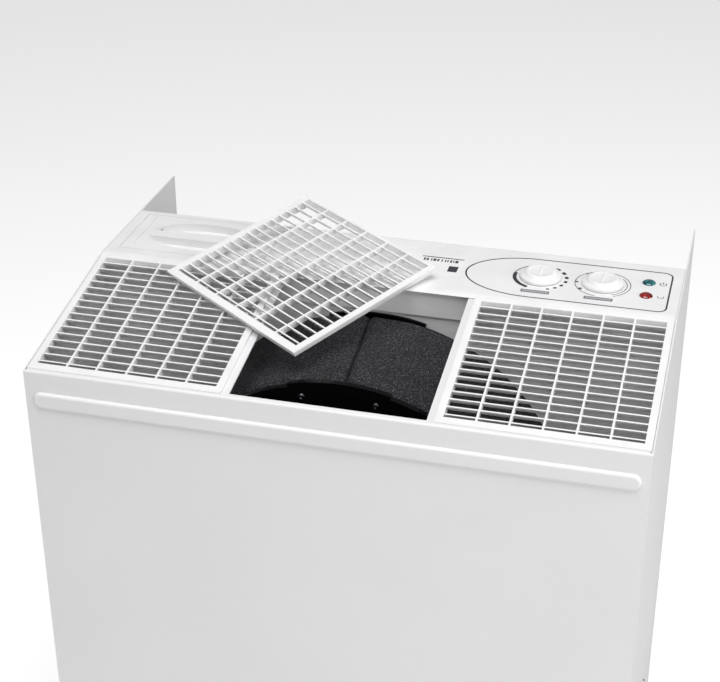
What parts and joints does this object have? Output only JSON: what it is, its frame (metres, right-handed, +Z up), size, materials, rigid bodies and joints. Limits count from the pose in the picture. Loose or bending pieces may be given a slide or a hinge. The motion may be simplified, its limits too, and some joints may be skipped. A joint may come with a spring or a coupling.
{
  "type": "clothes dryer",
  "caption": "Sheet-steel room-air clothes dryer with a sloping top of lift-out outlet grilles, a control console, and a fan drum, heat-pump circuit and water drawer inside.",
  "frame": {"origin": "centre of the cabinet's outline, on the floor under the feet", "axes": "+X to the right seen from the front, +Y to the rear, +Z up"},
  "size_m": [0.614, 0.4236, 0.8122],
  "materials": {
    "painted_steel": "powder coat, satin white",
    "galvanised_steel": "zinc coated",
    "white_plastic": "moulded, fine satin",
    "screw_steel": "zinc plated",
    "black_plastic": "moulded, glossy",
    "foam": "open-cell foam",
    "rubber": "moulded",
    "motor_paint": "black enamel",
    "fin_aluminium": "mill finish",
    "copper": "drawn copper tube",
    "tank_plastic": "translucent grey",
    "runner_plastic": "moulded grey",
    "filter_gauze": "woven gauze",
    "green_lens": "clear tinted",
    "red_lens": "clear tinted",
    "board": "circuit board"
  },
  "bodies": {
    "cabinet": {"base_pan": "painted_steel", "side_panel_left": "painted_steel", "side_panel_right": "painted_steel", "front_panel": "painted_steel", "top_frame": "painted_steel", "rear_panel": "galvanised_steel", "wall_rail": "galvanised_steel", "bulkhead": "galvanised_steel", "shelf": "galvanised_steel", "coil_end_plates": "galvanised_steel", "drip_tray": "galvanised_steel", "filter_rails": "galvanised_steel", "motor_bracket": "galvanised_steel", "electrical_box": "galvanised_steel", "electrical_box_lid": "galvanised_steel", "console": "white_plastic", "side_screws": "screw_steel", "fan_ring_screws": "screw_steel", "fan_shroud": "black_plastic", "fan_front_ring": "black_plastic", "humidistat": "black_plastic", "fan_switch": "black_plastic", "cable_gland": "black_plastic", "foam_wrap": "foam", "feet": "rubber", "compressor_mounts": "rubber", "fan_motor": "motor_paint", "compressor": "motor_paint", "condenser_fins": "fin_aluminium", "evaporator_fins": "fin_aluminium", "capacitor": "fin_aluminium", "condenser_tube": "copper", "evaporator_tube": "copper", "discharge_pipe": "copper", "suction_pipe": "copper", "capillary_line": "copper", "drain_spout": "tank_plastic", "tank_rails": "runner_plastic", "power_lens": "green_lens", "tank_full_lens": "red_lens", "indicator_board": "board"},
    "grille_left": {"grille_left": "white_plastic"},
    "grille_right": {"grille_right": "white_plastic"},
    "grille_centre": {"grille_centre": "white_plastic"},
    "console_lid": {"console_lid": "white_plastic"},
    "humidity_dial": {"humidity_knob": "white_plastic", "humidity_shaft": "screw_steel"},
    "fan_dial": {"fan_knob": "white_plastic", "fan_switch_shaft": "screw_steel"},
    "fan": {"impeller": "black_plastic", "motor_shaft": "screw_steel"},
    "tank": {"water_tank": "tank_plastic", "tank_front": "white_plastic"},
    "float": {"tank_float": "tank_plastic", "float_pin": "screw_steel"},
    "filter": {"filter_frame": "runner_plastic", "filter_mesh": "filter_gauze"}
  },
  "joints": [
    {"name": "grille_centre_lift", "type": "slide", "parent": "cabinet", "child": "grille_centre", "axis": [0, -0.1706, 0.9853], "range_m": [0, 0.12]},
    {"name": "grille_left_lift", "type": "slide", "parent": "cabinet", "child": "grille_left", "axis": [0, -0.1706, 0.9853], "range_m": [0, 0.048]},
    {"name": "grille_right_lift", "type": "slide", "parent": "cabinet", "child": "grille_right", "axis": [0, -0.1706, 0.9853], "range_m": [0, 0.048]},
    {"name": "console_lid_lift", "type": "slide", "parent": "cabinet", "child": "console_lid", "axis": [0, 0, 1], "range_m": [0, 0.03]},
    {"name": "humidity_dial_turn", "type": "hinge", "parent": "cabinet", "child": "humidity_dial", "pos_m": [0.1597, 0.05044, 0.78], "axis": [0, 0, 1], "range_deg": [-140, 140]},
    {"name": "fan_dial_turn", "type": "hinge", "parent": "cabinet", "child": "fan_dial", "pos_m": [0.2241, 0.05044, 0.78], "axis": [0, 0, 1], "range_deg": [0, 60]},
    {"name": "fan_spin", "type": "hinge", "parent": "cabinet", "child": "fan", "pos_m": [0, -0.08625, 0.53799], "axis": [0, 1, 0], "continuous": true},
    {"name": "tank_slide", "type": "slide", "parent": "cabinet", "child": "tank", "axis": [0, -1, 0], "range_m": [0, 0.18]},
    {"name": "float_tilt", "type": "hinge", "parent": "tank", "child": "float", "pos_m": [-0.15, -0.05975, 0.19], "axis": [1, 0, 0], "range_deg": [-14, 0]},
    {"name": "filter_slide", "type": "slide", "parent": "cabinet", "child": "filter", "axis": [0, 0, 1], "range_m": [0, 0.3]}
  ],
  "couplings": [
    {"joint": "grille_left_lift", "follows": "grille_centre_lift", "ratio": 0.4},
    {"joint": "console_lid_lift", "follows": "grille_centre_lift", "ratio": 0.25}
  ]
}
